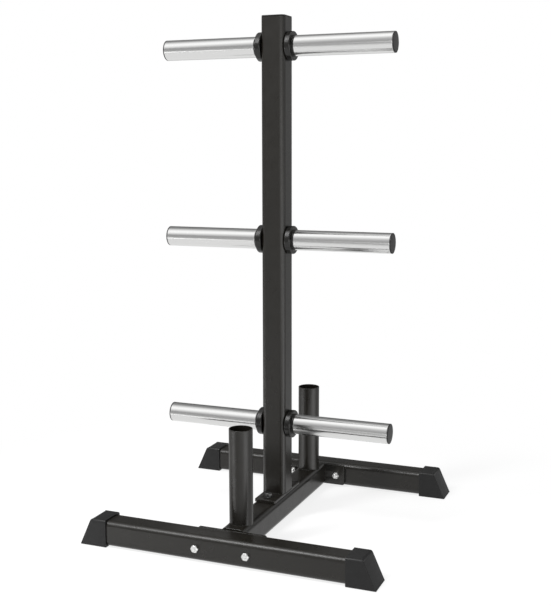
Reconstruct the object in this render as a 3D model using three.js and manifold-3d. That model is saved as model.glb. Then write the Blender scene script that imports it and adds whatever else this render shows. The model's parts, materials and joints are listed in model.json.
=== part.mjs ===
// Plate tree for strength training: a square post on an H-shaped base, with a plate horn
// on each side at three heights and two upright tubes that hold barbells.
// Millimetres, +Z up. X runs along the horns and the feet, Y along the base beam.
// The origin is on the floor, under the middle of the post.
import * as THREE from 'three';
import { mergeVertices } from 'three/addons/utils/BufferGeometryUtils.js';
import Module from 'manifold-3d';

const wasm = await Module();
wasm.setup();

// Square steel tube of the post, the beam and the feet
const tubeSide = 62;
const tubeWall = 2.5;
const tubeCorner = 12;

// Overall sizes
const standHeight = 1264;
const footSpacing = 640;
const footLength = 746;

// Gaps between pieces that touch, and round a tube or a bolt in its hole
const seatGap = 0.3;
const slipGap = 0.3;
const holeGap = 0.5;
const cutOverrun = 2;

// End caps of the feet
const capSole = 2.2;
const capWall = 3.4;
const capFloorLength = 71;
const capTopLength = 40;
const capGripLength = 33;
const capCrownRadius = 6;
const capTopCorner = 6;
const capFloorCorner = 3;

// The steel plates: one at each end of the beam and one under the post
const plateInset = 3;
const plateThickness = 7;
const plateCorner = 5;
const boltSpacing = 128;
const boltToPlateEnd = 23.5;

// Cap in the top of the post
const topCapThickness = 3;
const topCapPlugDepth = 20;
const topCapPlugWall = 2.5;
const topCapEdge = 1.2;

// Bar holders
const holderDiameter = 57;
const holderWall = 2.5;
const holderTop = 295;
const holderFromFoot = 89;
const holderLip = 0.8;

// Plate horns
const lowestHorn = 252;
const topHornBelowTop = 72;
const hornReach = 300;
const hornDiameter = 50;
const sleeveWall = 2.6;
const stubWall = 3;
const stubFromTip = 20;
const sleeveLip = 0.8;

// Collar at the root of each horn
const collarDiameter = 70;
const collarThickness = 15;
const collarEdge = 2;
const collarBossLength = 5;
const collarBossRim = 1;

// Plug in the tip of each horn
const plugFlange = 3;
const plugStemLength = 14;
const plugWall = 2.5;
const plugEdge = 0.8;

// Bolts, nuts and washers
const boltDiameter = 10;
const hexAcross = 17;
const headHeight = 6.4;
const headChamfer = 0.6;
const nutHeight = 10;
const nutCollarHeight = 2;
const nutCollarDiameter = 15;
const weldNutHeight = 8;
const weldNutChamfer = 0.8;
const boltTip = 3;
const washerDiameter = 20;
const washerThickness = 2;
const springWasherDiameter = 18.1;
const springWasherThickness = 2.6;
const springWasherSplit = 2.4;

// Steps on arcs and circles
const cornerSteps = 3;
const bevelSteps = 2;
const roundSteps = 28;
const stubSteps = 14;
const boltSteps = 12;

// Places that follow from these sizes
const quarter = Math.PI / 2;
const half = (length) => length / 2;
const tubeHalf = half(tubeSide);
const footBottom = capSole + seatGap;
const footAxis = footBottom + tubeHalf;
const beamTop = footBottom + tubeSide;
const footY = half(footSpacing);
const endPlateY = footY - tubeHalf - seatGap - half(plateThickness);
const beamHalfLength = endPlateY - half(plateThickness) - seatGap;
const basePlateBottom = beamTop + seatGap;
const basePlateTop = basePlateBottom + plateThickness;
const plateWidth = tubeSide - 2 * plateInset;
const plateLength = boltSpacing + 2 * boltToPlateEnd;
const boltOffset = half(boltSpacing);
const boltHole = boltDiameter + 2 * holeGap;
const capMouth = half(footLength) - capFloorLength;
const footTubeHalf = capMouth + capGripLength;
const holderY = footY - holderFromFoot;
const stubDiameter = hornDiameter - 2 * (sleeveWall + slipGap);
const topHorn = standHeight - topHornBelowTop;
const hornHeights = [lowestHorn, half(lowestHorn + topHorn), topHorn];

// Finishes
const finish = (color, roughness, metalness) =>
  new THREE.MeshStandardMaterial({ color, roughness, metalness });
const powderCoat = finish(0x2f2e2d, 0.45, 0.2);
const rubber = finish(0x323232, 0.7, 0);
const plastic = finish(0x2b2a2a, 0.45, 0);
const capGrey = finish(0x454545, 0.5, 0);
const chrome = finish(0xd9d9d9, 0.1, 1);
const zinc = finish(0xd2d2d0, 0.35, 1);
const blackSteel = finish(0x2a2a2a, 0.5, 0.6);

// A closed solid from a geometry, for cutting and joining
function solidOf(geometry) {
  const bare = geometry.clone();
  bare.deleteAttribute('normal');
  bare.deleteAttribute('uv');
  const welded = mergeVertices(bare);
  const index = welded.index.array;
  const triangles = [];
  for (let i = 0; i < index.length; i += 3) {
    const [a, b, c] = [index[i], index[i + 1], index[i + 2]];
    if (a !== b && b !== c && c !== a) triangles.push(a, b, c);
  }
  const mesh = new wasm.Mesh({
    numProp: 3,
    vertProperties: welded.attributes.position.array,
    triVerts: Uint32Array.from(triangles),
  });
  return new wasm.Manifold(mesh);
}

// The geometry of a solid that has been cut or joined
function geometryOf(solid) {
  const mesh = solid.getMesh();
  const geometry = new THREE.BufferGeometry();
  geometry.setAttribute('position', new THREE.BufferAttribute(mesh.vertProperties, 3));
  geometry.setIndex(new THREE.BufferAttribute(mesh.triVerts, 1));
  geometry.computeVertexNormals();
  return geometry;
}

function cut(geometry, ...cutters) {
  const start = solidOf(geometry);
  const result = cutters.reduce((solid, cutter) => solid.subtract(solidOf(cutter)), start);
  return geometryOf(result);
}

// Rectangle with rounded corners about the origin
function roundedRectangle(width, height, radius, Kind = THREE.Shape) {
  const [x, y] = [half(width) - radius, half(height) - radius];
  const outline = new Kind();
  outline.absarc(x, y, radius, 0, quarter);
  outline.absarc(-x, y, radius, quarter, 2 * quarter);
  outline.absarc(-x, -y, radius, 2 * quarter, 3 * quarter);
  outline.absarc(x, -y, radius, 3 * quarter, 4 * quarter);
  outline.closePath();
  return outline;
}

// An outline given depth along Z, centred on the origin
function extruded(outline, depth) {
  const options = { depth, bevelEnabled: false, curveSegments: cornerSteps };
  return new THREE.ExtrudeGeometry(outline, options).translate(0, 0, -half(depth));
}

// The same, with its outer edges rounded inside the stated size
function softExtruded(outline, depth, edge) {
  const options = {
    depth: depth - 2 * edge,
    bevelThickness: edge,
    bevelSize: edge,
    bevelOffset: -edge,
    bevelSegments: bevelSteps,
    curveSegments: cornerSteps,
  };
  return new THREE.ExtrudeGeometry(outline, options).translate(0, 0, edge - half(depth));
}

// A profile of [radius, height] points turned about Z
function turned(profile, steps) {
  const points = profile.map(([radius, height]) => new THREE.Vector2(radius, height));
  return new THREE.LatheGeometry(points, steps).rotateX(quarter);
}

// A round bar about Z from one height to another
function bar(diameter, low, high, steps) {
  const radius = half(diameter);
  return turned([[0, low], [radius, low], [radius, high], [0, high]], steps);
}

// A round tube standing on Z = 0, with its outer edge eased at both ends
function pipe(diameter, wall, length, lip) {
  const outer = half(diameter);
  const inner = outer - wall;
  const profile = [
    [inner, 0],
    [outer - lip, 0],
    [outer, lip],
    [outer, length - lip],
    [outer - lip, length],
    [inner, length],
    [inner, 0],
  ];
  return turned(profile, roundSteps);
}

// The bare tube inside a horn, with square edges
function stubPipe(length) {
  const outer = half(stubDiameter);
  const inner = outer - stubWall;
  return turned([[inner, 0], [outer, 0], [outer, length], [inner, length], [inner, 0]], stubSteps);
}

function squareTubeOutline(side, wall, corner) {
  const outline = roundedRectangle(side, side, corner);
  const bore = side - 2 * wall;
  outline.holes.push(roundedRectangle(bore, bore, corner - wall, THREE.Path));
  return outline;
}

function hexagon(across) {
  const reach = half(across) / Math.cos(Math.PI / 6);
  const outline = new THREE.Shape();
  for (let side = 0; side < 6; side += 1) {
    const angle = (side * Math.PI) / 3;
    const corner = [reach * Math.cos(angle), reach * Math.sin(angle)];
    if (side === 0) outline.moveTo(...corner);
    else outline.lineTo(...corner);
  }
  outline.closePath();
  return outline;
}

// A hexagon standing on Z = 0 with its upper corners turned off
function hexBody(across, height, topDiameter, shoulder) {
  const cone = half(across) * Math.tan(Math.PI / 6);
  const profile = [
    [0, 0],
    [across, 0],
    [across, shoulder - cone],
    [half(across), shoulder],
    [half(topDiameter), height],
    [0, height],
  ];
  const prism = extruded(hexagon(across), height).translate(0, 0, half(height));
  return solidOf(prism).intersect(solidOf(turned(profile, boltSteps)));
}

// A hexagon bolt: the head stands above Z = 0 and the shank hangs below it
function hexBolt(shankLength) {
  const topDiameter = hexAcross - 2 * headChamfer;
  const head = hexBody(hexAcross, headHeight, topDiameter, headHeight - headChamfer);
  const shank = bar(boltDiameter, -shankLength, half(headHeight), boltSteps);
  return geometryOf(head.add(solidOf(shank)));
}

function boreCutter(diameter, low, high) {
  return bar(diameter, low - cutOverrun, high + cutOverrun, boltSteps);
}

// A hexagon nut with a plain bore
function hexNut(height, topDiameter, shoulder) {
  const body = hexBody(hexAcross, height, topDiameter, shoulder);
  const bore = boreCutter(boltDiameter + 2 * slipGap, 0, height);
  return geometryOf(body.subtract(solidOf(bore)));
}

// A lock nut: it tapers above its shoulder, round the nylon ring
function lockNut() {
  return hexNut(nutHeight, nutCollarDiameter, nutHeight - nutCollarHeight);
}

function weldNut() {
  const topDiameter = hexAcross - 2 * weldNutChamfer;
  return hexNut(weldNutHeight, topDiameter, weldNutHeight - weldNutChamfer);
}

function flatWasher() {
  const disc = bar(washerDiameter, 0, washerThickness, boltSteps);
  return cut(disc, boreCutter(boltHole, 0, washerThickness));
}

function springWasher() {
  const disc = bar(springWasherDiameter, 0, springWasherThickness, boltSteps);
  const reach = springWasherDiameter;
  const split = new THREE.BoxGeometry(springWasherSplit, reach, reach).translate(0, half(reach), 0);
  return cut(disc, boreCutter(boltHole, 0, springWasherThickness), split);
}

// Square tube along Z, drilled along Y for its two bolts between the two depths
function drilledTube(length, nearDepth, farDepth) {
  const outline = squareTubeOutline(tubeSide, tubeWall, tubeCorner);
  const holes = [-1, 1].map((side) => bar(boltHole, nearDepth, farDepth, boltSteps)
    .rotateX(quarter)
    .translate(0, 0, side * boltOffset));
  return cut(extruded(outline, length), ...holes);
}

// Side view of an end cap, from its mouth at X = 0 to its sloped nose
function capProfile(height) {
  const slope = Math.atan2(capFloorLength - capTopLength, height);
  const crown = capCrownRadius;
  const crownX = capTopLength - crown * Math.tan(half(quarter - slope));
  const outline = new THREE.Shape();
  outline.moveTo(0, 0);
  outline.lineTo(capFloorLength, 0);
  outline.absarc(crownX, height - crown, crown, slope, quarter);
  outline.lineTo(0, height);
  outline.closePath();
  return outline;
}

// End view of an end cap, with rounder corners above than below
function capSection(width, height) {
  const [top, low] = [capTopCorner, capFloorCorner];
  const outline = new THREE.Shape();
  outline.absarc(half(width) - top, height - top, top, 0, quarter);
  outline.absarc(top - half(width), height - top, top, quarter, 2 * quarter);
  outline.absarc(low - half(width), low, low, 2 * quarter, 3 * quarter);
  outline.absarc(half(width) - low, low, low, 3 * quarter, 4 * quarter);
  outline.closePath();
  return outline;
}

// End cap along X, open towards the foot tube
function footCap() {
  const width = tubeSide + 2 * (slipGap + capWall);
  const height = footBottom + tubeSide + slipGap + capWall;
  const sideView = extruded(capProfile(height), width + cutOverrun).rotateX(quarter);
  const endView = extruded(capSection(width, height), 2 * (capFloorLength + cutOverrun))
    .rotateX(quarter)
    .rotateZ(quarter);
  const boreSide = tubeSide + 2 * slipGap;
  const boreDepth = capGripLength + seatGap;
  const boreOutline = roundedRectangle(boreSide, boreSide, tubeCorner + slipGap);
  const bore = extruded(boreOutline, 2 * boreDepth)
    .rotateY(quarter)
    .translate(0, 0, footAxis);
  const body = solidOf(sideView).intersect(solidOf(endView));
  return geometryOf(body.subtract(solidOf(bore)));
}

// Steel plate lying flat, with a hole near each end
function drilledPlate() {
  const outline = roundedRectangle(plateLength, plateWidth, plateCorner);
  const holes = [-1, 1].map((side) => bar(boltHole, -plateThickness, plateThickness, boltSteps)
    .translate(side * boltOffset, 0, 0));
  return cut(extruded(outline, plateThickness), ...holes);
}

// Cap for the top of the post: a thin cover and a hollow plug below it
function topCap() {
  const cover = softExtruded(roundedRectangle(tubeSide, tubeSide, tubeCorner),
    topCapThickness, topCapEdge).translate(0, 0, half(topCapThickness));
  const plugSide = tubeSide - 2 * (tubeWall + slipGap);
  const plugCorner = tubeCorner - tubeWall - slipGap;
  const plugHeight = topCapPlugDepth + half(topCapThickness);
  const outline = squareTubeOutline(plugSide, topCapPlugWall, plugCorner);
  const plug = extruded(outline, plugHeight)
    .translate(0, 0, half(topCapThickness) - half(plugHeight));
  return geometryOf(solidOf(cover).add(solidOf(plug)));
}

// Collar round the root of a horn, standing on Z = 0
function collar() {
  const outer = half(collarDiameter);
  const bore = half(stubDiameter) + slipGap;
  const boss = half(hornDiameter) + collarBossRim;
  const bossTop = collarThickness + collarBossLength;
  const profile = [
    [bore, 0],
    [outer - collarEdge, 0],
    [outer, collarEdge],
    [outer, collarThickness - collarEdge],
    [outer - collarEdge, collarThickness],
    [boss, collarThickness],
    [boss, bossTop - collarBossRim],
    [boss - collarBossRim, bossTop],
    [bore, bossTop],
    [bore, 0],
  ];
  return turned(profile, roundSteps);
}

// Plug for the tip of a horn: a flange as wide as the horn and a hollow stem below it
function tipPlug() {
  const rim = half(hornDiameter);
  const stem = half(hornDiameter) - sleeveWall - slipGap;
  const inside = stem - plugWall;
  const profile = [
    [0, 0],
    [inside, 0],
    [inside, -plugStemLength],
    [stem, -plugStemLength],
    [stem, 0],
    [rim, 0],
    [rim, plugFlange - plugEdge],
    [rim - plugEdge, plugFlange],
    [0, plugFlange],
  ];
  return turned(profile, roundSteps);
}

function named(name, geometry, material) {
  const mesh = new THREE.Mesh(geometry, material);
  mesh.name = name;
  return mesh;
}

function place(object, x, y, z) {
  object.position.set(x, y, z);
  return object;
}

const ends = [['front', -1], ['rear', 1]];
const sides = [['left', -1], ['right', 1]];

// One foot: tube, two end caps, and the bolts and nuts that hold it to the beam
function foot(end, direction) {
  const group = new THREE.Group();
  const drilled = drilledTube(2 * footTubeHalf, -tubeSide, tubeSide);
  const tube = named(`foot_tube_${end}`, drilled, powderCoat);
  tube.rotation.y = quarter;
  group.add(place(tube, 0, 0, footAxis));
  for (const [side, sign] of sides) {
    const cap = named(`foot_cap_${end}_${side}`, footCap(), rubber);
    cap.rotation.z = sign < 0 ? Math.PI : 0;
    group.add(place(cap, sign * capMouth, 0, 0));
    group.add(footBolt(`${end}_${side}`, sign, direction));
  }
  return place(group, 0, direction * footY, 0);
}

// A bolt through the foot and the end plate, with its head outside and its nut inside
function footBolt(where, sign, direction) {
  const group = new THREE.Group();
  const headSeat = tubeHalf + seatGap;
  const nutSeat = -(tubeHalf + seatGap + plateThickness + seatGap);
  const shankLength = headSeat - nutSeat + nutHeight + boltTip;
  const bolt = named(`foot_bolt_${where}`, hexBolt(shankLength), zinc);
  const nut = named(`foot_nut_${where}`, lockNut(), zinc);
  nut.rotation.x = Math.PI;
  group.add(place(bolt, 0, 0, headSeat));
  group.add(place(nut, 0, 0, nutSeat));
  group.rotation.x = -direction * quarter;
  return place(group, sign * boltOffset, 0, footAxis);
}

// The beam, its end plates and the bar holders that stand on it
function beamAssembly() {
  const group = new THREE.Group();
  const beam = named('base_beam', drilledTube(2 * beamHalfLength, 0, tubeSide), powderCoat);
  beam.rotation.x = -quarter;
  group.add(place(beam, 0, 0, footAxis));
  for (const [end, direction] of ends) {
    const plate = named(`beam_end_plate_${end}`, drilledPlate(), powderCoat);
    plate.rotation.x = quarter;
    group.add(place(plate, 0, direction * endPlateY, footAxis));
    const low = beamTop + seatGap;
    const tube = pipe(holderDiameter, holderWall, holderTop - low, holderLip);
    group.add(place(named(`bar_holder_${end}`, tube, powderCoat), 0, direction * holderY, low));
  }
  return group;
}

// The post, the plate under it, the cap on it and the bolts that hold it to the beam
function postAssembly() {
  const group = new THREE.Group();
  const plate = named('post_base_plate', drilledPlate(), powderCoat);
  plate.rotation.z = quarter;
  group.add(place(plate, 0, 0, basePlateBottom + half(plateThickness)));
  const postBottom = basePlateTop + seatGap;
  const coverBottom = standHeight - topCapThickness;
  const postLength = coverBottom - seatGap - postBottom;
  const outline = squareTubeOutline(tubeSide, tubeWall, tubeCorner);
  const tube = named('post_tube', extruded(outline, postLength), powderCoat);
  group.add(place(tube, 0, 0, postBottom + half(postLength)));
  group.add(place(named('post_top_cap', topCap(), plastic), 0, 0, coverBottom));
  for (const [end, direction] of ends) group.add(postBolt(end, direction));
  return group;
}

// A bolt with its two washers on the base plate, and the nut welded inside the beam
function postBolt(end, direction) {
  const group = new THREE.Group();
  const washerSeat = basePlateTop + seatGap;
  const springSeat = washerSeat + washerThickness + seatGap;
  const headSeat = springSeat + springWasherThickness + seatGap;
  const nutSeat = beamTop - tubeWall - seatGap;
  const shankLength = headSeat - nutSeat + weldNutHeight + boltTip;
  const nut = named(`weld_nut_${end}`, weldNut(), blackSteel);
  nut.rotation.x = Math.PI;
  group.add(place(nut, 0, 0, nutSeat));
  const washer = named(`post_washer_${end}`, flatWasher(), blackSteel);
  group.add(place(washer, 0, 0, washerSeat));
  const spring = named(`post_spring_washer_${end}`, springWasher(), blackSteel);
  group.add(place(spring, 0, 0, springSeat));
  const bolt = named(`post_bolt_${end}`, hexBolt(shankLength), blackSteel);
  group.add(place(bolt, 0, 0, headSeat));
  return place(group, 0, direction * boltOffset, 0);
}

// One horn along Z from the post's face: stub, collar, sleeve and tip plug
function horn(where) {
  const group = new THREE.Group();
  const root = tubeHalf + seatGap;
  const sleeveStart = root + collarThickness + collarBossLength + seatGap;
  const flangeSeat = hornReach - plugFlange;
  const sleeveLength = flangeSeat - seatGap - sleeveStart;
  const stubLength = hornReach - stubFromTip - root;
  const stub = stubPipe(stubLength);
  const sleeve = pipe(hornDiameter, sleeveWall, sleeveLength, sleeveLip);
  group.add(place(named(`horn_stub_${where}`, stub, powderCoat), 0, 0, root));
  group.add(place(named(`horn_collar_${where}`, collar(), plastic), 0, 0, root));
  group.add(place(named(`horn_sleeve_${where}`, sleeve, chrome), 0, 0, sleeveStart));
  group.add(place(named(`horn_plug_${where}`, tipPlug(), capGrey), 0, 0, flangeSeat));
  return group;
}

function hornPair(level, height) {
  const group = new THREE.Group();
  for (const [side, sign] of sides) {
    const arm = horn(`${side}_${level}`);
    arm.rotation.y = sign * quarter;
    group.add(arm);
  }
  return place(group, 0, 0, height);
}

const plateTree = new THREE.Group();
plateTree.name = 'plate_tree';
for (const [end, direction] of ends) plateTree.add(foot(end, direction));
plateTree.add(beamAssembly());
plateTree.add(postAssembly());
['low', 'middle', 'top'].forEach((level, i) => plateTree.add(hornPair(level, hornHeights[i])));

export default plateTree;
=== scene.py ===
"""Plate tree for strength training: smooth pieces and finishes over its solids, in a studio."""
import json
import math

import bmesh
import bpy
from mathutils import Matrix, Vector


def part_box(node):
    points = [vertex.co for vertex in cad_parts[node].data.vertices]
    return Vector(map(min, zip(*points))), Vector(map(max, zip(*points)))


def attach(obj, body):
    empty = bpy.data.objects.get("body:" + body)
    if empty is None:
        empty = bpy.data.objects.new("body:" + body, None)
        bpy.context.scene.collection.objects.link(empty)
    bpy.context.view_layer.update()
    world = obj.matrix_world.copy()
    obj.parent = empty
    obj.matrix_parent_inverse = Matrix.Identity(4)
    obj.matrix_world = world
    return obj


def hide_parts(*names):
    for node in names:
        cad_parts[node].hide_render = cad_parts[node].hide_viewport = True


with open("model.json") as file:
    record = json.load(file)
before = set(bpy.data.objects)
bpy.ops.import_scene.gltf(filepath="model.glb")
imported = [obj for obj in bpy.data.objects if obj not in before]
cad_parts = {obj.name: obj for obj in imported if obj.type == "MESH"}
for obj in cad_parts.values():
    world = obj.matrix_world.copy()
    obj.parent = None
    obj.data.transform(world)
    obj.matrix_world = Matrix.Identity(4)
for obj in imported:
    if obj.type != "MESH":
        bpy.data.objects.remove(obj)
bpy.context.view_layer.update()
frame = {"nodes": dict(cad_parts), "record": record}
scene = bpy.context.scene
mm = 0.001
quarter = math.pi / 2
whole_turn = 2 * math.pi
touching = 1e-7

# Camera: its place in metres, its turns in degrees, its lens and sensor in millimetres
camera_place = (0.97803, -2.41002, 0.96036)
camera_azimuth = 22.187
camera_elevation = 8.725
camera_roll = 0.129
camera_lens = 61.97
camera_sensor = 36
camera_reach = 60

# Floor: its size, how far it lies below the feet, where it turns white, and its tones
floor_size = 60
floor_drop = 0.4 * mm
floor_fade = (0.55, 1.1)
floor_tone = 0.8
shadow_tone = 0.25
floor_glow = 0.8

# Light: the even fill, and two soft lamps overhead with their watts, height and turn in degrees
fill_light = 0.52
lamp_height = 3.2
lamp_turn = -37
wide_lamp = {"width": 3.5, "length": 5.6, "power": 9, "x": -1.77, "y": -1.02}
edge_lamp = {"width": 0.4, "length": 2.9, "power": 132, "x": -1.53, "y": -2.29}

# The room that the steel mirrors: stops of height in degrees and level, at the front and the
# rear, and where to the rear of the stand one gives way to the other
room_front = ((-90, 1.0), (-30, 1.0), (-20, 0.77), (-10, 0.54), (0, 0.44), (90, 0.44))
room_rear = ((-90, 1.0), (-34, 1.0), (-22, 0.65), (-18, 0.64), (-15, 0.5), (-8, 0.37), (6, 0.42),
             (17, 0.1), (24, 0.04), (35, 0.25), (90, 0.45))
room_change = (-0.15, 0.3)

# The bright strip overhead, on a level plane one unit up: stops of place across it and level,
# its start, end and softness along, the cosine and sine of its turn, and its least height
strip_levels = ((-1.5, 0), (-1.05, 0.3), (-0.635, 0.34), (-0.43, 0.75), (-0.27, 1.2),
                (-0.14, 1.45), (0, 1.4), (0.114, 1.05), (0.285, 0.74), (0.53, 0.54), (1.0, 0.5))
strip_length = (-3.4, 0.9, 0.4)
strip_turn = (0.8, 0.6)
strip_least_height = 0.03

# Bright panels and walls in the room: their level, and bounds to the side and in height, each
# as low, high and softness in degrees. Both panels lean: stops of height and of their middle.
# The right one changes its width too, so its bounds to the side are shares of its half width
left_panel = {"level": 4.1, "width": (-13, 13, 8), "rise": (-20.3, -13.2, 0.8)}
right_panel = {"level": 2.05, "width": (-1, 1, 0.4), "rise": (-27, 6, 2)}
side_wall = {"level": 0.45, "width": (70, 135, 15), "rise": (-11, 7, 2)}
rear_wall = {"level": 0.5, "width": (142, 170, 9), "rise": (10, 27, 3)}
left_middle = ((-20.5, -37), (-18, -45), (-16, -53), (-13.5, -66))
right_middle = ((-18, 71), (-15, 77), (-13, 79), (-10.6, 62), (-5, 35), (3, 17))
right_half = ((-18, 18), (-15, 22), (-13, 32), (-10.6, 38), (-5, 35), (3, 29))

# Where most of a noise lies, and the angle in degrees past which an edge is sharp
noise_middle = (0.3, 0.7)
sharp_angle = 32

# How far beside an eased corner a further point lies, which keeps the straight sides flat
outline_rest = 1.2 * mm
profile_rest = 0.6 * mm
cap_rest = 2 * mm
washer_rest = 0.1 * mm

# Square steel tube of the post, the beam and the feet
tube_wall = 2.5 * mm
tube_corner = 12 * mm
tube_edge = 0.4 * mm
slip_gap = 0.3 * mm

# Plates
plate_corner = 5 * mm
plate_edge = 0.6 * mm
bolt_spacing = 128 * mm
bolt_hole = 11 * mm

# Cap of the post
cover_thickness = 3 * mm
cover_edge = 1.1 * mm
cover_plug_wall = 2.5 * mm

# End caps of the feet
cap_top_length = 40 * mm
cap_bore_depth = 33.3 * mm
cap_crown = 6 * mm
cap_top_corner = 6 * mm
cap_floor_corner = 3 * mm
cap_least_corner = 0.6 * mm
cap_edge = 2 * mm
cap_lip = 0.6 * mm
cap_mouth_share = 1.012

# Bar holders
holder_wall = 2.5 * mm
holder_lip = 0.8 * mm
holder_seat_depth = 5.2 * mm

# Plate horns
sleeve_wall = 2.6 * mm
sleeve_lip = 0.9 * mm
collar_thickness = 15 * mm
collar_edge = 2.6 * mm
collar_bore = 44.8 * mm
boss_diameter = 52 * mm
boss_edge = 1.2 * mm
boss_root = 0.8 * mm
plug_flange = 3 * mm
plug_edge = 1 * mm
plug_back_edge = 0.3 * mm
plug_dome = 0.5 * mm
plug_dome_share = 0.94
plug_stem = 44.2 * mm
plug_stem_wall = 2.5 * mm
plug_stem_edge = 0.6 * mm

# Bolts, nuts and washers
hex_across = 17 * mm
hex_facets = 96
hex_slope = math.radians(30)
head_height = 6.4 * mm
head_chamfer = 0.6 * mm
nut_height = 10 * mm
nut_shoulder = 7.6 * mm
nut_top = 14.6 * mm
nut_play = 0.2 * mm
least_bore = 0.1 * mm
bore_facets = 48
bolt_diameter = 10 * mm
shank_overlap = 0.5 * mm
thread_pitch = 1.5 * mm
thread_depth = 0.8 * mm
foot_thread_length = 24 * mm
post_smooth_length = 2 * mm
tip_chamfer = 1.2 * mm
tip_slope = 0.9
thread_least_share = 0.72
tip_share = 0.7
washer_edge = 0.3 * mm
spring_lift = 0.35 * mm
spring_split = 14

# Weld beads: the size of a drop, how much drops differ, and the step between them
bead_size = 0.9 * mm
bead_size_shares = (0.92, 1.08)
bead_step = 0.7 * mm
bead_seed = 5

ends = {"front": -1, "rear": 1}
sides = {"left": -1, "right": 1}
levels = ("low", "middle", "top")


# Nodes that both materials and shapes use

def add(tree, kind, values=None, **settings):
    """A node with its settings, and with a value or a link for each named input."""
    node = tree.nodes.new(kind)
    for name, value in settings.items():
        setattr(node, name, value)
    for name, value in (values or {}).items():
        if isinstance(value, bpy.types.NodeSocket):
            tree.links.new(value, node.inputs[name])
        else:
            node.inputs[name].default_value = value
    return node


def calc(tree, operation, first, second=0.0):
    return add(tree, "ShaderNodeMath", {0: first, 1: second}, operation=operation).outputs[0]


def ranged(tree, value, start, end, low=0.0, high=1.0, way="LINEAR"):
    """Goes from low to high while value goes from start to end."""
    values = {"Value": value, "From Min": start, "From Max": end, "To Min": low, "To Max": high}
    return add(tree, "ShaderNodeMapRange", values, interpolation_type=way).outputs["Result"]


def window(tree, value, low, high, soft):
    """One between low and high, nothing outside, with soft sides."""
    rising = ranged(tree, value, low - soft, low + soft, way="SMOOTHSTEP")
    falling = ranged(tree, value, high - soft, high + soft, 1.0, 0.0, way="SMOOTHSTEP")
    return calc(tree, "MULTIPLY", rising, falling)


def ramp(tree, value, stops):
    """A level that follows straight lines through the given stops."""
    low, high = stops[0][0], stops[-1][0]
    node = add(tree, "ShaderNodeFloatCurve", {"Value": ranged(tree, value, low, high)})
    node.mapping.use_clip = False
    curve = node.mapping.curves[0]
    while len(curve.points) < len(stops):
        curve.points.new(0.5, 0.5)
    for point, (where, level) in zip(curve.points, stops):
        point.location = ((where - low) / (high - low), level)
        point.handle_type = "VECTOR"
    node.mapping.update()
    return node.outputs[0]


# Camera, room, floor and lamps

def camera():
    """The camera, at the photograph's viewing angle."""
    angles = (camera_azimuth, camera_elevation, camera_roll)
    azimuth, elevation, roll = (math.radians(angle) for angle in angles)
    level = Vector((math.cos(azimuth), math.sin(azimuth), 0))
    back = Vector((math.sin(azimuth) * math.cos(elevation),
                   -math.cos(azimuth) * math.cos(elevation), math.sin(elevation)))
    upright = back.cross(level)
    right = math.cos(roll) * level - math.sin(roll) * upright
    up = math.sin(roll) * level + math.cos(roll) * upright
    optics = bpy.data.cameras.new("camera")
    optics.lens = camera_lens
    optics.sensor_width = camera_sensor
    optics.clip_end = camera_reach
    holder = bpy.data.objects.new("camera", optics)
    holder.matrix_world = Matrix((right, up, back)).transposed().to_4x4()
    holder.matrix_world.translation = Vector(camera_place)
    scene.collection.objects.link(holder)
    scene.camera = holder


def overhead_strip(tree, axes):
    """The bright strip that the chrome mirrors where the lamps are, brightest at its front edge."""
    rise = calc(tree, "MAXIMUM", axes["Z"], strip_least_height)
    flat_x = calc(tree, "DIVIDE", axes["X"], rise)
    flat_y = calc(tree, "DIVIDE", axes["Y"], rise)
    cosine, sine = strip_turn
    across = calc(tree, "SUBTRACT", calc(tree, "MULTIPLY", flat_x, cosine),
                  calc(tree, "MULTIPLY", flat_y, sine))
    along = calc(tree, "ADD", calc(tree, "MULTIPLY", flat_x, sine),
                 calc(tree, "MULTIPLY", flat_y, cosine))
    level = ramp(tree, across, strip_levels)
    return calc(tree, "MULTIPLY", level, window(tree, along, *strip_length))


def patch(tree, side, height, level, width, rise):
    """A level between bounds to the side and in height, each given as low, high and softness."""
    inside = calc(tree, "MULTIPLY", window(tree, side, *width), window(tree, height, *rise))
    return calc(tree, "MULTIPLY", inside, level)


def room_in_steel(tree):
    """The level that steel mirrors each way: the room, the strip, two panels and two walls."""
    way = add(tree, "ShaderNodeTexCoord").outputs["Generated"]
    axes = add(tree, "ShaderNodeSeparateXYZ", {0: way}).outputs
    height = calc(tree, "MULTIPLY", calc(tree, "ARCSINE", axes["Z"]), math.degrees(1))
    toward = calc(tree, "MULTIPLY", axes["Y"], -1.0)
    side = calc(tree, "MULTIPLY", calc(tree, "ARCTAN2", axes["X"], toward), math.degrees(1))

    behind = ranged(tree, axes["Y"], *room_change, way="SMOOTHSTEP")
    room = {"Factor": behind, "A": ramp(tree, height, room_front),
            "B": ramp(tree, height, room_rear)}
    level = add(tree, "ShaderNodeMix", room).outputs[0]
    level = calc(tree, "MAXIMUM", level, overhead_strip(tree, axes))

    left = calc(tree, "SUBTRACT", side, ramp(tree, height, left_middle))
    right = calc(tree, "SUBTRACT", side, ramp(tree, height, right_middle))
    right_share = calc(tree, "DIVIDE", right, ramp(tree, height, right_half))
    for place, bright in ((left, left_panel), (right_share, right_panel),
                          (side, side_wall), (side, rear_wall)):
        level = calc(tree, "ADD", level, patch(tree, place, height, **bright))
    return level


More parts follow.
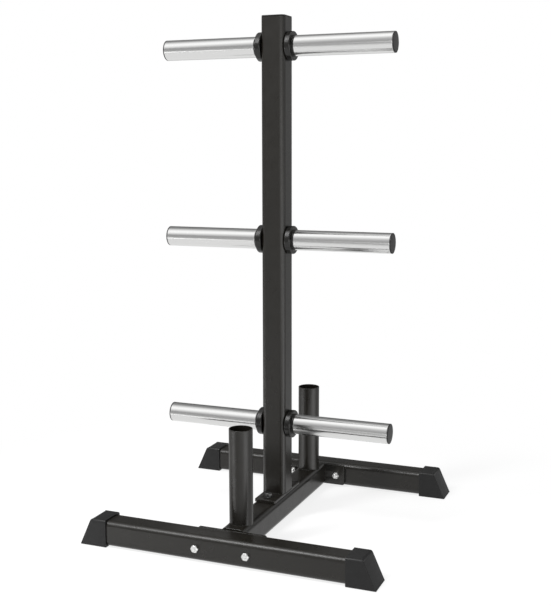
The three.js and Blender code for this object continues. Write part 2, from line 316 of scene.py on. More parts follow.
def studio():
    """A pale room: white to the camera, an even fill on the stand, and panels in its steel."""
    world = bpy.data.worlds.new("studio")
    world.use_nodes = True
    world.cycles.sampling_method = "NONE"
    tree = world.node_tree
    tree.nodes.clear()
    strengths = (1.0, room_in_steel(tree), fill_light)
    backdrop, mirrored, fill = (
        add(tree, "ShaderNodeBackground", {"Color": (1, 1, 1, 1), "Strength": strength}).outputs[0]
        for strength in strengths)
    ray = add(tree, "ShaderNodeLightPath").outputs
    seen = calc(tree, "MAXIMUM", ray["Is Camera Ray"], ray["Is Transmission Ray"])
    soft = add(tree, "ShaderNodeMixShader", {0: ray["Is Glossy Ray"], 1: fill, 2: mirrored})
    both = add(tree, "ShaderNodeMixShader", {0: seen, 1: soft.outputs[0], 2: backdrop})
    add(tree, "ShaderNodeOutputWorld", {"Surface": both.outputs[0]})
    scene.world = world


def floor_paint():
    """White to the camera where nothing shades it, darker in a shadow, and matt in the light."""
    material = bpy.data.materials.new("pale floor")
    material.use_nodes = True
    tree = material.node_tree
    tree.nodes.clear()
    place = add(tree, "ShaderNodeTexCoord").outputs["Object"]
    reach = add(tree, "ShaderNodeVectorMath", {0: place}, operation="LENGTH").outputs["Value"]
    near = ranged(tree, reach, *floor_fade, 1.0, 0.0, way="SMOOTHSTEP")
    matt, shade = (
        add(tree, "ShaderNodeBsdfDiffuse", {"Color": (tone, tone, tone, 1)}).outputs[0]
        for tone in (floor_tone, shadow_tone))
    glow, far_white = (
        add(tree, "ShaderNodeEmission", {"Color": (1, 1, 1, 1), "Strength": level}).outputs[0]
        for level in (floor_glow, 1.0))
    near_white = add(tree, "ShaderNodeAddShader", {0: shade, 1: glow})
    white = add(tree, "ShaderNodeMixShader", {0: near, 1: far_white, 2: near_white.outputs[0]})
    ray = add(tree, "ShaderNodeLightPath").outputs
    seen = calc(tree, "MAXIMUM", ray["Is Camera Ray"], ray["Is Glossy Ray"])
    seen = calc(tree, "MAXIMUM", seen, ray["Is Transmission Ray"])
    both = add(tree, "ShaderNodeMixShader", {0: seen, 1: matt, 2: white.outputs[0]})
    add(tree, "ShaderNodeOutputMaterial", {"Surface": both.outputs[0]})
    return material


def pale_floor():
    """A plain floor under the stand, which keeps the stand's shadow."""
    half = floor_size / 2
    corners = ((-half, -half), (half, -half), (half, half), (-half, half))
    mesh = bpy.data.meshes.new("floor")
    mesh.from_pydata([(x, y, -floor_drop) for x, y in corners], [], [(0, 1, 2, 3)])
    mesh.materials.append(floor_paint())
    floor = bpy.data.objects.new("floor", mesh)
    floor.visible_glossy = False
    scene.collection.objects.link(floor)


def soft_lamp(name, lights, width, length, power, x, y):
    """A soft lamp overhead that lights what the collection lets it."""
    lamp = bpy.data.lights.new(name, "AREA")
    lamp.shape = "RECTANGLE"
    lamp.size = width
    lamp.size_y = length
    lamp.energy = power
    holder = bpy.data.objects.new(name, lamp)
    holder.location = (x, y, lamp_height)
    holder.rotation_euler = (0, 0, math.radians(lamp_turn))
    holder.visible_camera = False
    holder.light_linking.receiver_collection = lights
    scene.collection.objects.link(holder)


def softboxes(sleeves):
    """A wide soft lamp and a narrow one along its front edge. They light all but the chrome
    sleeves, which mirror the studio's strip instead."""
    lights = bpy.data.collections.new("apart from the lamps")
    lights.objects.link(sleeves)
    lights.collection_objects[0].light_linking.link_state = "EXCLUDE"
    soft_lamp("wide softbox", lights, **wide_lamp)
    soft_lamp("edge softbox", lights, **edge_lamp)


# Finishes

def finish(name, color, roughness, metallic=0.0, specular=0.5):
    """A material whose even values are on its shader's own sockets."""
    material = bpy.data.materials.new(name)
    material.use_nodes = True
    sockets = shader_sockets(material)
    sockets["Base Color"].default_value = (*color, 1)
    sockets["Roughness"].default_value = roughness
    sockets["Metallic"].default_value = metallic
    sockets["Specular IOR Level"].default_value = specular
    return material


def shader_sockets(material):
    return material.node_tree.nodes["Principled BSDF"].inputs


def grain(tree, size, detail, stretch=(1, 1, 1)):
    """Noise on the object's own coordinates, with features of about the given size."""
    place = add(tree, "ShaderNodeTexCoord").outputs["Object"]
    scaled = add(tree, "ShaderNodeMapping", {"Vector": place, "Scale": stretch}).outputs[0]
    values = {"Vector": scaled, "Scale": 1 / size, "Detail": detail}
    return add(tree, "ShaderNodeTexNoise", values).outputs[0]


def wander(tree, noise, low, high):
    """Goes from low to high over the middle of a noise."""
    return ranged(tree, grain(tree, **noise), *noise_middle, low, high)


def toned(material, dark, pale, **noise):
    """Lets the base colour wander between two tones."""
    tree = material.node_tree
    tones = {0: wander(tree, noise, 0.0, 1.0), 6: (*dark, 1), 7: (*pale, 1)}
    tone = add(tree, "ShaderNodeMix", tones, data_type="RGBA").outputs[2]
    tree.links.new(tone, shader_sockets(material)["Base Color"])


def uneven(material, low, high, **noise):
    """Lets the roughness wander between two values."""
    tree = material.node_tree
    tree.links.new(wander(tree, noise, low, high), shader_sockets(material)["Roughness"])


def relief(material, depth, **noise):
    """Raises the surface by the given depth."""
    tree = material.node_tree
    values = {"Height": grain(tree, **noise), "Distance": depth, "Strength": 1.0}
    bumped = add(tree, "ShaderNodeBump", values).outputs[0]
    tree.links.new(bumped, shader_sockets(material)["Normal"])


def grey(level):
    return (level, level, level)


def powder_coat():
    coat = finish("powder coat", color=(0.011, 0.0097, 0.0075), roughness=0.28, specular=0.46)
    toned(coat, dark=(0.01, 0.0088, 0.0068), pale=(0.012, 0.0106, 0.0081), size=60 * mm, detail=4)
    uneven(coat, low=0.27, high=0.33, size=25 * mm, detail=3)
    relief(coat, depth=0.035 * mm, size=1.1 * mm, detail=3)
    return coat


def chrome():
    plating = finish("chrome", color=(0.69, 0.69, 0.685), roughness=0.17, metallic=1.0)
    uneven(plating, low=0.16, high=0.18, size=9 * mm, detail=4, stretch=(0.15, 1, 1))
    relief(plating, depth=0.0002 * mm, size=0.4 * mm, detail=1, stretch=(0.04, 1, 1))
    return plating


def cap_rubber():
    rubber = finish("cap rubber", color=grey(0.012), roughness=0.4, specular=0.3)
    toned(rubber, dark=grey(0.0108), pale=grey(0.0132), size=18 * mm, detail=4)
    uneven(rubber, low=0.36, high=0.44, size=6 * mm, detail=3)
    relief(rubber, depth=0.05 * mm, size=0.7 * mm, detail=3)
    return rubber


def black_plastic():
    color = (0.0085, 0.0081, 0.0072)
    plastic = finish("black plastic", color=color, roughness=0.21, specular=0.43)
    uneven(plastic, low=0.18, high=0.24, size=5 * mm, detail=3)
    relief(plastic, depth=0.012 * mm, size=0.6 * mm, detail=2)
    return plastic


def plug_plastic():
    plastic = finish("plug plastic", color=grey(0.016), roughness=0.42, specular=0.42)
    toned(plastic, dark=grey(0.0148), pale=grey(0.0172), size=12 * mm, detail=3)
    relief(plastic, depth=0.02 * mm, size=0.5 * mm, detail=2)
    return plastic


def zinc_plating():
    plating = finish("zinc plating", color=(0.71, 0.71, 0.7), roughness=0.3, metallic=1.0)
    uneven(plating, low=0.26, high=0.38, size=1.5 * mm, detail=3)
    relief(plating, depth=0.01 * mm, size=0.5 * mm, detail=2)
    return plating


def black_oxide():
    oxide = finish("black oxide", color=(0.14, 0.14, 0.137), roughness=0.42, metallic=1.0)
    uneven(oxide, low=0.38, high=0.46, size=1.5 * mm, detail=3)
    relief(oxide, depth=0.01 * mm, size=0.5 * mm, detail=2)
    return oxide


# Where the solids are

def middle(node):
    low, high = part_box(node)
    return (Vector(low) + Vector(high)) / 2


def extent(node):
    low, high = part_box(node)
    return Vector(high) - Vector(low)


def lowest(node):
    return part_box(node)[0][2]


def highest(node):
    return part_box(node)[1][2]


def near_face(node, axis, direction):
    """The face of a node's box that looks along the axis in the direction, -1 or 1."""
    low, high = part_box(node)
    return low[axis] if direction < 0 else high[axis]


# Outlines and meshes

def on_circle(radius, k, count):
    """The place of point k of count around a circle."""
    angle = whole_turn * k / count
    return radius * math.cos(angle), radius * math.sin(angle)


def corner_points(width, height, radii, steps=8, rest=outline_rest):
    """Closed outline with a radius for each corner, from the upper right one anticlockwise.
    A point beside each corner keeps the straight sides flat."""
    points = []
    signs = ((1, 1), (-1, 1), (-1, -1), (1, -1))
    for i, ((sx, sy), radius) in enumerate(zip(signs, radii)):
        centre = Vector((sx * (width / 2 - radius), sy * (height / 2 - radius)))
        start = i * quarter
        angles = [start + k * quarter / steps for k in range(steps + 1)]
        arc = [centre + radius * Vector((math.cos(angle), math.sin(angle))) for angle in angles]
        before = Vector((math.sin(start), -math.cos(start)))
        after = Vector((-math.sin(start + quarter), math.cos(start + quarter)))
        points += [arc[0] + rest * before, *arc, arc[-1] + rest * after]
    return points


def rounded(width, height, radius, **fineness):
    """Closed outline with the same radius at each corner."""
    return corner_points(width, height, (radius,) * 4, **fineness)


def eased(profile, steps=5, rest=profile_rest):
    """A closed profile of (radius, height, ease) with each eased corner turned into an arc."""
    points = []
    for i, (r, h, ease) in enumerate(profile):
        here = Vector((r, h))
        if not ease:
            points.append(here)
            continue
        before = Vector(profile[i - 1][:2]) - here
        after = Vector(profile[(i + 1) % len(profile)][:2]) - here
        start = here + before.normalized() * ease
        end = here + after.normalized() * ease
        if before.length > 2 * (ease + rest):
            points.append(start + before.normalized() * rest)
        for k in range(steps + 1):
            t = k / steps
            points.append((1 - t) ** 2 * start + 2 * t * (1 - t) * here + t * t * end)
        if after.length > 2 * (ease + rest):
            points.append(end + after.normalized() * rest)
    return points


def as_mesh(work, name):
    """A mesh of the work, with its faces outwards."""
    bmesh.ops.recalc_face_normals(work, faces=work.faces)
    mesh = bpy.data.meshes.new(name)
    work.to_mesh(mesh)
    work.free()
    return mesh


def merged(work, name):
    """A mesh of the work, with points that touch made one and its faces outwards."""
    bmesh.ops.remove_doubles(work, verts=work.verts, dist=touching)
    return as_mesh(work, name)


def turned(points, facets):
    """A mesh from a profile turned about Z. The profile closes on itself or on the axis."""
    work = bmesh.new()
    rings = []
    for r, h in points:
        if r < touching:
            rings.append([work.verts.new((0, 0, h))])
        else:
            rings.append([work.verts.new((*on_circle(r, k, facets), h)) for k in range(facets)])
    for ring, other in zip(rings, rings[1:] + rings[:1]):
        if len(ring) == 1 and len(other) == 1:
            continue
        for k in range(facets):
            n = (k + 1) % facets
            if len(ring) == 1:
                work.faces.new((ring[0], other[n], other[k]))
            elif len(other) == 1:
                work.faces.new((ring[k], ring[n], other[0]))
            else:
                work.faces.new((ring[k], ring[n], other[n], other[k]))
    return as_mesh(work, "turned")


def lofted(rings):
    """Faces through rings of equal count, open at the first ring and the last."""
    work = bmesh.new()
    loops = [[work.verts.new(p) for p in ring] for ring in rings]
    count = len(loops[0])
    for ring, other in zip(loops, loops[1:]):
        for k in range(count):
            n = (k + 1) % count
            work.faces.new((ring[k], ring[n], other[n], other[k]))
    return work, loops


def closed_loft(rings, name):
    """A mesh through rings, from the last one back to the first."""
    work, _ = lofted([*rings, rings[0]])
    return merged(work, name)


def capped_loft(rings, name):
    """A mesh through rings, with a face over the first one and the last."""
    work, loops = lofted(rings)
    work.faces.new(loops[0][::-1])
    work.faces.new(loops[-1])
    return merged(work, name)


def square_tube(side, length):
    """Square tube along Z about the origin, with rounded corners and eased ends."""
    half = length / 2
    rings = []
    for z, inset in ((-half, tube_edge), (tube_edge - half, 0), (half - tube_edge, 0),
                     (half, tube_edge), (half, tube_wall), (-half, tube_wall)):
        width = side - 2 * inset
        outline = rounded(width, width, tube_corner - inset)
        rings.append([(x, y, z) for x, y in outline])
    return closed_loft(rings, "square tube")


def flat_plate(width, length, thickness, holes, corner, edge):
    """Flat plate about Z = 0, with round holes at the given places and eased edges."""
    curve = bpy.data.curves.new("plate outline", "CURVE")
    curve.dimensions = "2D"
    curve.fill_mode = "BOTH"
    loops = [rounded(width - 2 * edge, length - 2 * edge, corner - edge, steps=6)]
    facets = 32
    for x, y, radius in holes:
        ring = [on_circle(radius + edge, -k, facets) for k in range(facets)]
        loops.append([(x + across, y + along) for across, along in ring])
    for loop in loops:
        spline = curve.splines.new("POLY")
        spline.points.add(len(loop) - 1)
        for point, (x, y) in zip(spline.points, loop):
            point.co = (x, y, 0, 1)
        spline.use_cyclic_u = True
    curve.extrude = thickness / 2 - edge
    curve.bevel_depth = edge
    curve.bevel_resolution = 2
    holder = bpy.data.objects.new("plate outline", curve)
    scene.collection.objects.link(holder)
    mesh = plain_mesh(holder)
    bpy.data.objects.remove(holder)
    work = bmesh.new()
    work.from_mesh(mesh)
    return merged(work, "plate")


def plain_mesh(obj):
    """The mesh of an object with its curve or its node tree worked out."""
    graph = bpy.context.evaluated_depsgraph_get()
    graph.update()
    return bpy.data.meshes.new_from_object(obj.evaluated_get(graph))


def laid(mesh, matrix):
    mesh.transform(matrix)
    return mesh


def joined(*meshes):
    """One mesh from several, each given as a mesh and a matrix."""
    work = bmesh.new()
    for mesh, matrix in meshes:
        work.from_mesh(laid(mesh.copy(), matrix))
    return as_mesh(work, "joined")


# Node trees for what repeats

def sized_tree(name, sizes, piece=False):
    """A geometry tree with a named input for each size, for its finish and for a piece."""
    tree = bpy.data.node_groups.new(name, "GeometryNodeTree")
    make = tree.interface.new_socket
    make("Geometry", in_out="INPUT", socket_type="NodeSocketGeometry")
    make("Geometry", in_out="OUTPUT", socket_type="NodeSocketGeometry")
    for label in sizes:
        make(label, in_out="INPUT", socket_type="NodeSocketFloat")
    make("Finish", in_out="INPUT", socket_type="NodeSocketMaterial")
    if piece:
        make("Piece", in_out="INPUT", socket_type="NodeSocketObject")
    return tree, add(tree, "NodeGroupInput").outputs


def ended(tree, geometry, material):
    """Closes a tree with real geometry in its finish."""
    real = add(tree, "GeometryNodeRealizeInstances", {"Geometry": geometry}).outputs[0]
    coated = add(tree, "GeometryNodeSetMaterial", {"Geometry": real, "Material": material})
    add(tree, "NodeGroupOutput", {"Geometry": coated.outputs[0]})
    return tree


def worked(tree, mesh, values):
    """Runs a tree on a mesh with the given inputs and returns the plain mesh."""
    holder = bpy.data.objects.new("work piece", mesh)
    scene.collection.objects.link(holder)
    modifier = holder.modifiers.new("tree", "NODES")
    modifier.node_group = tree
    for item in tree.interface.items_tree:
        if item.in_out == "INPUT" and item.name in values:
            modifier[item.identifier] = values[item.name]
    result = plain_mesh(holder)
    bpy.data.objects.remove(holder)
    return result


def raised(tree, mesh, height):
    """A mesh moved up by a height."""
    up = add(tree, "ShaderNodeCombineXYZ", {"Z": height}).outputs[0]
    values = {"Geometry": mesh.outputs["Mesh"], "Translation": up}
    return add(tree, "GeometryNodeTransform", values).outputs[0]


def combined(tree, operation, meshes, base=None):
    """Meshes joined, overlapped, or cut from a base."""
    node = add(tree, "GeometryNodeMeshBoolean", solver="EXACT", operation=operation)
    if base:
        tree.links.new(base, node.inputs["Mesh 1"])
    for mesh in meshes:
        tree.links.new(mesh, node.inputs["Mesh 2"])
    return node.outputs["Mesh"]


def hex_tree():
    """A hexagon with turned corners: a bolt head, or a nut where it has a bore."""
    tree, given = sized_tree("hexagon", ("Across", "Height", "Shoulder", "Top diameter", "Bore"))
    across, height, shoulder = given["Across"], given["Height"], given["Shoulder"]
    half = calc(tree, "MULTIPLY", across, 0.5)
    corner = calc(tree, "DIVIDE", across, 2 * math.cos(math.pi / 6))
    cone_height = calc(tree, "MULTIPLY", half, math.tan(hex_slope))
    base_height = calc(tree, "SUBTRACT", shoulder, cone_height)

    base = add(tree, "GeometryNodeMeshCylinder", {
        "Vertices": hex_facets, "Radius": across, "Depth": base_height})
    cone = add(tree, "GeometryNodeMeshCone", {
        "Vertices": hex_facets, "Radius Top": half, "Radius Bottom": across,
        "Depth": cone_height})
    crown = add(tree, "GeometryNodeMeshCone", {
        "Vertices": hex_facets, "Radius Top": calc(tree, "MULTIPLY", given["Top diameter"], 0.5),
        "Radius Bottom": half, "Depth": calc(tree, "SUBTRACT", height, shoulder)})
    blank = combined(tree, "UNION", (
        raised(tree, base, calc(tree, "MULTIPLY", base_height, 0.5)),
        raised(tree, cone, base_height), raised(tree, crown, shoulder)))

    prism = add(tree, "GeometryNodeMeshCylinder", {
        "Vertices": 6, "Radius": corner, "Depth": height})
    upright = raised(tree, prism, calc(tree, "MULTIPLY", height, 0.5))
    hexagon = combined(tree, "INTERSECT", (upright, blank))
    drill = add(tree, "GeometryNodeMeshCylinder", {
        "Vertices": bore_facets, "Radius": calc(tree, "MULTIPLY", given["Bore"], 0.5),
        "Depth": 1.0})
    drilled = combined(tree, "DIFFERENCE", (drill.outputs["Mesh"],), base=hexagon)
    has_bore = add(tree, "FunctionNodeCompare", {0: given["Bore"], 1: least_bore},
                   operation="GREATER_THAN").outputs[0]
    either = add(tree, "GeometryNodeSwitch", {
        "Switch": has_bore, "False": hexagon, "True": drilled}, input_type="GEOMETRY")
    return ended(tree, either.outputs[0], given["Finish"])


def copies_tree():
    """A copy of one piece at each point, turned by the point's own angles."""
    tree, given = sized_tree("copies", (), piece=True)
    piece = add(tree, "GeometryNodeObjectInfo", {"Object": given["Piece"]})
    angles = add(tree, "GeometryNodeInputNamedAttribute", {"Name": "turn"},
                 data_type="FLOAT_VECTOR")
    turn = add(tree, "FunctionNodeEulerToRotation", {"Euler": angles.outputs[0]})
    points = add(tree, "GeometryNodeMeshToPoints", {"Mesh": given["Geometry"]})
    spread = add(tree, "GeometryNodeInstanceOnPoints", {
        "Points": points.outputs[0], "Instance": piece.outputs["Geometry"],
        "Rotation": turn.outputs[0]})
    return ended(tree, spread.outputs[0], given["Finish"])


def bead_tree():
    """A weld bead: drops that overlap along a path."""
    tree, given = sized_tree("weld bead", ("Step", "Size"))
    path = add(tree, "GeometryNodeMeshToCurve", {"Mesh": given["Geometry"]})
    stepped = add(tree, "GeometryNodeResampleCurve", {
        "Curve": path.outputs[0], "Length": given["Step"]}, mode="LENGTH")
    drop = add(tree, "GeometryNodeMeshIcoSphere", {"Radius": given["Size"], "Subdivisions": 1})
    least, most = bead_size_shares
    size = add(tree, "FunctionNodeRandomValue", {2: least, 3: most, "Seed": bead_seed},
               data_type="FLOAT")
    spread = add(tree, "GeometryNodeInstanceOnPoints", {
        "Points": stepped.outputs[0], "Instance": drop.outputs["Mesh"], "Scale": size.outputs[1]})
    return ended(tree, spread.outputs[0], given["Finish"])


# Pieces in their finish

def smooth_piece(name, mesh, slot):
    """An object with a smooth mesh in the finish of its slot."""
    mesh.polygons.foreach_set("use_smooth", [True] * len(mesh.polygons))
    mesh.materials.clear()
    mesh.materials.append(finishes[slot])
    obj = bpy.data.objects.new(name, mesh)
    scene.collection.objects.link(obj)
    return obj


def shown(name, mesh, slot, nodes):
    """Shows a mesh, with its sharp edges kept, as the piece that stands for the named solids."""
    piece = smooth_piece(name, mesh, slot)
    mesh.set_sharp_from_angle(angle=math.radians(sharp_angle))
    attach(piece, "root")
    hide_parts(*nodes)
    return piece


def copies(name, mesh, slot, nodes, places):
    """One piece made of copies of a mesh, each at a place with its own turn."""
    single = bpy.data.objects.new("single", mesh)
    scene.collection.objects.link(single)
    points = bpy.data.meshes.new("places")
    points.from_pydata([place for place, _ in places], [], [])
    turns = points.attributes.new("turn", "FLOAT_VECTOR", "POINT")
    turns.data.foreach_set("vector", [angle for _, turn in places for angle in turn])
    result = worked(trees["copies"], points, {"Piece": single, "Finish": finishes[slot]})
    bpy.data.objects.remove(single)
    return shown(name, result, slot, nodes)


# Horns

def horn_places(kind):
    """The root and the turn of each horn's piece of that kind, read from its solid."""
    places, nodes = [], []
    for level in levels:
        for side, direction in sides.items():
            node = f"horn_{kind}_{side}_{level}"
            centre = middle(node)
            root = near_face(node, 0, -direction)
            places.append(((root, centre.y, centre.z), (0, direction * quarter, 0)))
            nodes.append(node)
    return places, nodes


def horn_size(nodes):
    """The outer radius and the length of a horn's piece."""
    size = extent(nodes[0])
    return size.y / 2, size.x


def horn_sleeves():
    places, nodes = horn_places("sleeve")
    outer, length = horn_size(nodes)
    profile = ((outer - sleeve_wall, 0, 0), (outer, 0, sleeve_lip),
               (outer, length, sleeve_lip), (outer - sleeve_wall, length, 0))
    mesh = turned(eased(profile), facets=128)
    return copies("horn_sleeves", mesh, "chrome", nodes, places)


def horn_collars():
    places, nodes = horn_places("collar")
    outer, length = horn_size(nodes)
    boss, bore = boss_diameter / 2, collar_bore / 2
    profile = ((bore, 0, 0), (outer, 0, collar_edge), (outer, collar_thickness, collar_edge),
               (boss, collar_thickness, boss_root), (boss, length, boss_edge), (bore, length, 0))
    copies("horn_collars", turned(eased(profile), facets=112), "black_plastic", nodes, places)


def horn_plugs():
    places, nodes = horn_places("plug")
    outer, length = horn_size(nodes)
    seat, stem = length - plug_flange, plug_stem / 2
    inside = stem - plug_stem_wall
    profile = ((inside, seat, 0), (inside, 0, 0), (stem, 0, plug_stem_edge), (stem, seat, 0),
               (outer, seat, plug_back_edge), (outer, length - plug_dome, plug_edge))
    steps = 6
    shares = [1 - k / steps for k in range(steps)]
    dome = [(outer * share * plug_dome_share, length - plug_dome * share ** 2)
            for share in shares]
    points = [(0, seat), *eased(profile, steps=4), *dome, (0, length)]
    copies("horn_plugs", turned(points, facets=96), "grey_plastic", nodes, places)


# Post, beam and feet

def post():
    size = extent("post_tube")
    mesh = laid(square_tube(size.x, size.z), Matrix.Translation(middle("post_tube")))
    shown("post", mesh, "powder_coat", ["post_tube"])


def beam():
    size = extent("base_beam")
    place = Matrix.Translation(middle("base_beam")) @ Matrix.Rotation(quarter, 4, "X")
    shown("beam", laid(square_tube(size.x, size.y), place), "powder_coat", ["base_beam"])


def feet():
    for end in ends:
        node = f"foot_tube_{end}"
        size = extent(node)
        place = Matrix.Translation(middle(node)) @ Matrix.Rotation(quarter, 4, "Y")
        shown(f"foot_{end}", laid(square_tube(size.y, size.x), place), "powder_coat", [node])


def cap_mesh(width, height, floor_length, bore, bore_middle):
    """End cap with its mouth at X = 0 and its sloped nose towards +X."""
    slope = math.atan2(floor_length - cap_top_length, height)
    crown_x = cap_top_length - cap_crown * math.tan((quarter - slope) / 2)
    turn_height = height - cap_crown + cap_crown * math.sin(slope)
    fineness = {"steps": 10, "rest": cap_rest}

    def nose(z):
        """How far the nose reaches at a height: down the slope, or over the round crown."""
        if z <= turn_height:
            return floor_length - z * math.tan(slope)
        rise = z - (height - cap_crown)
        return crown_x + math.sqrt(max(cap_crown ** 2 - rise ** 2, 0))

    def outline(inset):
        top = cap_top_corner - inset
        low = max(cap_floor_corner - inset, cap_least_corner)
        radii = (top, top, low, low)
        points = corner_points(width - 2 * inset, height - 2 * inset, radii, **fineness)
        return [(y, z + height / 2) for y, z in points]

    inner = rounded(bore, bore, tube_corner + slip_gap, **fineness)
    full = outline(0)
    rings = [[(cap_bore_depth, y, z + bore_middle) for y, z in inner],
             [(cap_lip, y, z + bore_middle) for y, z in inner],
             [(0, y * cap_mouth_share, z * cap_mouth_share + bore_middle) for y, z in inner],
             [(0, y, z) for y, z in outline(cap_lip)],
             [(cap_lip, y, z) for y, z in full]]
    steps = 6
    for k in range(steps + 1):
        angle = k * quarter / steps
        inset = cap_edge * (1 - math.cos(angle))
        drop = cap_edge * (1 - math.sin(angle))
        rings.append([(nose(z0) - drop, y, z) for (y, z), (_, z0) in zip(outline(inset), full)])
    work, loops = lofted(rings)
    work.faces.new(loops[0][::-1])

    # Level strips close the nose from its right half to its left
    last = loops[-1]
    per_corner = len(last) // 4
    right = last[3 * per_corner:] + last[:per_corner]
    left = last[per_corner:3 * per_corner][::-1]
    for k in range(len(right) - 1):
        work.faces.new((right[k], right[k + 1], left[k + 1], left[k]))
    return merged(work, "end cap")


def foot_caps():
    for end in ends:
        tube = f"foot_tube_{end}"
        bore = extent(tube).y + 2 * slip_gap
        for side, direction in sides.items():
            node = f"foot_cap_{end}_{side}"
            size = extent(node)
            mouth = near_face(node, 0, -direction)
            turn = Matrix.Rotation(math.pi if direction < 0 else 0, 4, "Z")
            place = Matrix.Translation((mouth, middle(node).y, 0)) @ turn
            mesh = cap_mesh(size.y, size.z, size.x, bore, middle(tube).z)
            shown(node + "_rubber", laid(mesh, place), "foot_rubber", [node])


def plates():
    """The post's base plate and the plate at each end of the beam."""
    holes = [(0, place, bolt_hole / 2) for place in (-bolt_spacing / 2, bolt_spacing / 2)]
    size = extent("post_base_plate")
    mesh = flat_plate(size.x, size.y, size.z, holes, plate_corner, plate_edge)
    place = Matrix.Translation(middle("post_base_plate"))
    shown("post_plate", laid(mesh, place), "powder_coat", ["post_base_plate"])
    upright = Matrix(((0, 1, 0), (0, 0, 1), (1, 0, 0))).to_4x4()
    for end in ends:
        node = f"beam_end_plate_{end}"
        size = extent(node)
        mesh = flat_plate(size.z, size.x, size.y, holes, plate_corner, plate_edge)
        place = Matrix.Translation(middle(node)) @ upright
        shown(f"end_plate_{end}", laid(mesh, place), "powder_coat", [node])


def top_cap():
    """The post's cover and the hollow plug under it."""
    size, centre = extent("post_top_cap"), middle("post_top_cap")
    high = highest("post_top_cap")
    cover = flat_plate(size.x, size.y, cover_thickness, (), tube_corner, cover_edge)
    depth = size.z - cover_thickness
    rings = []
    for wall, z in ((cover_plug_wall, 0), (0, 0), (0, -depth), (cover_plug_wall, -depth)):
        inset = tube_wall + slip_gap + wall
        side = size.x - 2 * inset
        outline = rounded(side, side, tube_corner - inset, steps=6)
        rings.append([(x, y, z) for x, y in outline])
    plug = closed_loft(rings, "plug")
    whole = joined(
        (cover, Matrix.Translation((centre.x, centre.y, high - cover_thickness / 2))),
        (plug, Matrix.Translation((centre.x, centre.y, high - cover_thickness))))
    shown("post_cap", whole, "black_plastic", ["post_top_cap"])


def bar_holders():
    nodes = [f"bar_holder_{end}" for end in ends]
    size = extent(nodes[0])
    outer, length = size.x / 2, size.z + holder_seat_depth
    profile = ((outer - holder_wall, 0, 0), (outer, 0, 0),
               (outer, length, holder_lip), (outer - holder_wall, length, holder_lip))
    places = [((*middle(node).xy, lowest(node) - holder_seat_depth), (0, 0, 0)) for node in nodes]
    copies("bar_holders", turned(eased(profile), facets=112), "powder_coat", nodes, places)


# Fasteners

def hexagon(slot, height, shoulder, top_diameter, bore):
    values = {"Across": hex_across, "Height": height, "Shoulder": shoulder,
              "Top diameter": top_diameter, "Bore": bore, "Finish": finishes[slot]}
    return worked(trees["hexagon"], bpy.data.meshes.new("blank"), values)


def threaded(length, smooth_length):
    """A bolt's shank below Z = 0: plain near the head, threaded to its chamfered tip."""
    outer = bolt_diameter / 2
    facets = 40
    rows_per_pitch = 6
    row = thread_pitch / rows_per_pitch
    plain = [((outer,) * facets, 0.0), ((outer,) * facets, row - smooth_length)]
    thread = []
    for i in range(int((length - smooth_length) / row)):
        z = -smooth_length - i * row
        taper = max(0.0, tip_chamfer - (length + z)) * tip_slope
        phases = [(i / rows_per_pitch + k / facets) % 1.0 for k in range(facets)]
        cuts = [thread_depth * (1 - abs(2 * phase - 1)) for phase in phases]
        radii = [max(outer - cut - taper, outer * thread_least_share) for cut in cuts]
        thread.append((radii, z))
    tip = ((outer * tip_share,) * facets, -length)
    rings = [[(*on_circle(r, k, facets), z) for k, r in enumerate(radii)]
             for radii, z in (*plain, *thread, tip)]
    return capped_loft(rings, "shank")


def bolt_mesh(slot, length, smooth_length):
    """A bolt with its head above Z = 0. Its shank starts a little way up in the head."""
    head = hexagon(slot, head_height, head_height - head_chamfer,
                   hex_across - 2 * head_chamfer, bore=0.0)
    shank = threaded(length, smooth_length)
    return joined((head, Matrix()), (shank, Matrix.Translation((0, 0, shank_overlap))))


def foot_places(kind, height, way):
    """The seat and the turn of each bolt or nut at the feet. The seat lies a height within the
    outer end of its solid. The piece points out of the stand where way is 1, and in where -1."""
    places, nodes = [], []
    for end, direction in ends.items():
        for side in sides:
            node = f"foot_{kind}_{end}_{side}"
            centre = middle(node)
            seat = near_face(node, 1, direction) - direction * height
            places.append(((centre.x, seat, centre.z), (-way * direction * quarter, 0, 0)))
            nodes.append(node)
    return places, nodes


def foot_fasteners():
    places, nodes = foot_places("bolt", head_height, 1)
    length = extent(nodes[0]).y - head_height + shank_overlap
    bolt = bolt_mesh("zinc", length, length - foot_thread_length)
    copies("foot_bolts", bolt, "zinc", nodes, places)
    places, nodes = foot_places("nut", 0, -1)
    nut = hexagon("zinc", nut_height, nut_shoulder, nut_top, bore=bolt_diameter + nut_play)
    copies("foot_nuts", nut, "zinc", nodes, places)


def spring_mesh(outer, inner, thickness):
    """A split ring whose two ends stand slightly apart in height."""
    steps = 60
    gap = math.radians(spring_split)
    rings = []
    for k in range(steps + 1):
        angle = quarter + gap / 2 + (whole_turn - gap) * k / steps
        lift = spring_lift * (k / steps - 0.5)
        low, high = max(lift, 0), thickness + min(lift, 0)
        section = ((inner, low), (outer, low), (outer, high), (inner, high))
        rings.append([(r * math.cos(angle), r * math.sin(angle), z) for r, z in section])
    return capped_loft(rings, "spring washer")


def at_post_bolts(name, mesh, kind, height):
    """Shows a bolt or washer at each of the post's bolts, at a height."""
    nodes = [f"post_{kind}_{end}" for end in ends]
    spots = [middle(f"post_bolt_{end}") for end in ends]
    places = [((spot.x, spot.y, height), (0, 0, 0)) for spot in spots]
    copies(name, mesh, "black_steel", nodes, places)


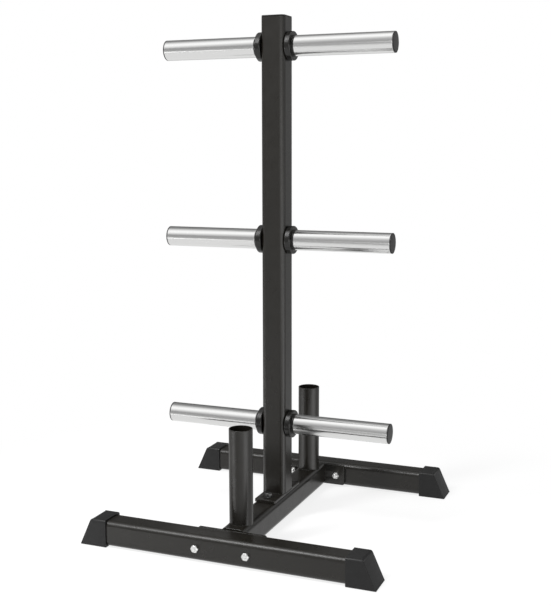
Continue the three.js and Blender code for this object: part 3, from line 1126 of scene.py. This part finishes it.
def post_fasteners():
    seat = highest("post_bolt_front") - head_height
    length = seat - lowest("post_bolt_front") + shank_overlap
    bolt = bolt_mesh("black_steel", length, post_smooth_length)
    at_post_bolts("post_bolts", bolt, "bolt", seat)
    size = extent("post_washer_front")
    inner, outer = bolt_hole / 2, size.x / 2
    profile = ((inner, 0, 0), (outer, 0, washer_edge), (outer, size.z, washer_edge),
               (inner, size.z, 0))
    washer = turned(eased(profile, steps=3, rest=washer_rest), facets=64)
    at_post_bolts("post_washers", washer, "washer", lowest("post_washer_front"))
    size = extent("post_spring_washer_front")
    spring = spring_mesh(size.x / 2, inner, size.z)
    at_post_bolts("post_spring_washers", spring, "spring_washer",
                  lowest("post_spring_washer_front"))


# Weld beads

def bead(name, points):
    """A bead along a closed path of points."""
    path = bpy.data.meshes.new("path")
    count = len(points)
    path.from_pydata(points, [(k, (k + 1) % count) for k in range(count)], [])
    values = {"Step": bead_step, "Size": bead_size, "Finish": finishes["powder_coat"]}
    piece = smooth_piece(name, worked(trees["bead"], path, values), "powder_coat")
    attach(piece, "root")


def weld_beads():
    """A bead around the post, around each bar holder and around each end of the beam."""
    side = extent("post_tube").x
    outline = rounded(side, side, tube_corner, steps=6)
    plate_top = highest("post_base_plate")
    bead("weld_post", [(x, y, plate_top) for x, y in outline])
    facets = 72
    for end, direction in ends.items():
        holder, plate = f"bar_holder_{end}", f"beam_end_plate_{end}"
        centre = middle(holder)
        points = []
        for k in range(facets):
            x, y = on_circle(extent(holder).x / 2, k, facets)
            over = max(abs(x) - (side / 2 - tube_corner), 0)
            drop = tube_corner - math.sqrt(max(tube_corner ** 2 - over ** 2, 0))
            points.append((centre.x + x, centre.y + y, highest("base_beam") - drop))
        bead(f"weld_holder_{end}", points)
        face = near_face(plate, 1, -direction)
        height = middle("base_beam").z
        tall = extent(plate).z - 2 * bead_size
        outline = rounded(side - bead_size, tall, tube_corner, steps=6)
        bead(f"weld_plate_{end}", [(x, face, height + z) for x, z in outline])


# The stand in its studio

camera()
studio()
pale_floor()
scene.view_settings.view_transform = "Standard"

finishes = {
    "powder_coat": powder_coat(),
    "chrome": chrome(),
    "foot_rubber": cap_rubber(),
    "black_plastic": black_plastic(),
    "grey_plastic": plug_plastic(),
    "zinc": zinc_plating(),
    "black_steel": black_oxide(),
}
slots = {entry["node"]: entry["material_slot"] for entry in frame["record"]["subparts"]}
for node, solid in frame["nodes"].items():
    for place in solid.material_slots:
        place.material = finishes[slots[node]]

trees = {"hexagon": hex_tree(), "copies": copies_tree(), "bead": bead_tree()}
softboxes(horn_sleeves())
horn_collars()
horn_plugs()
post()
beam()
feet()
foot_caps()
plates()
top_cap()
bar_holders()
foot_fasteners()
post_fasteners()
weld_beads()
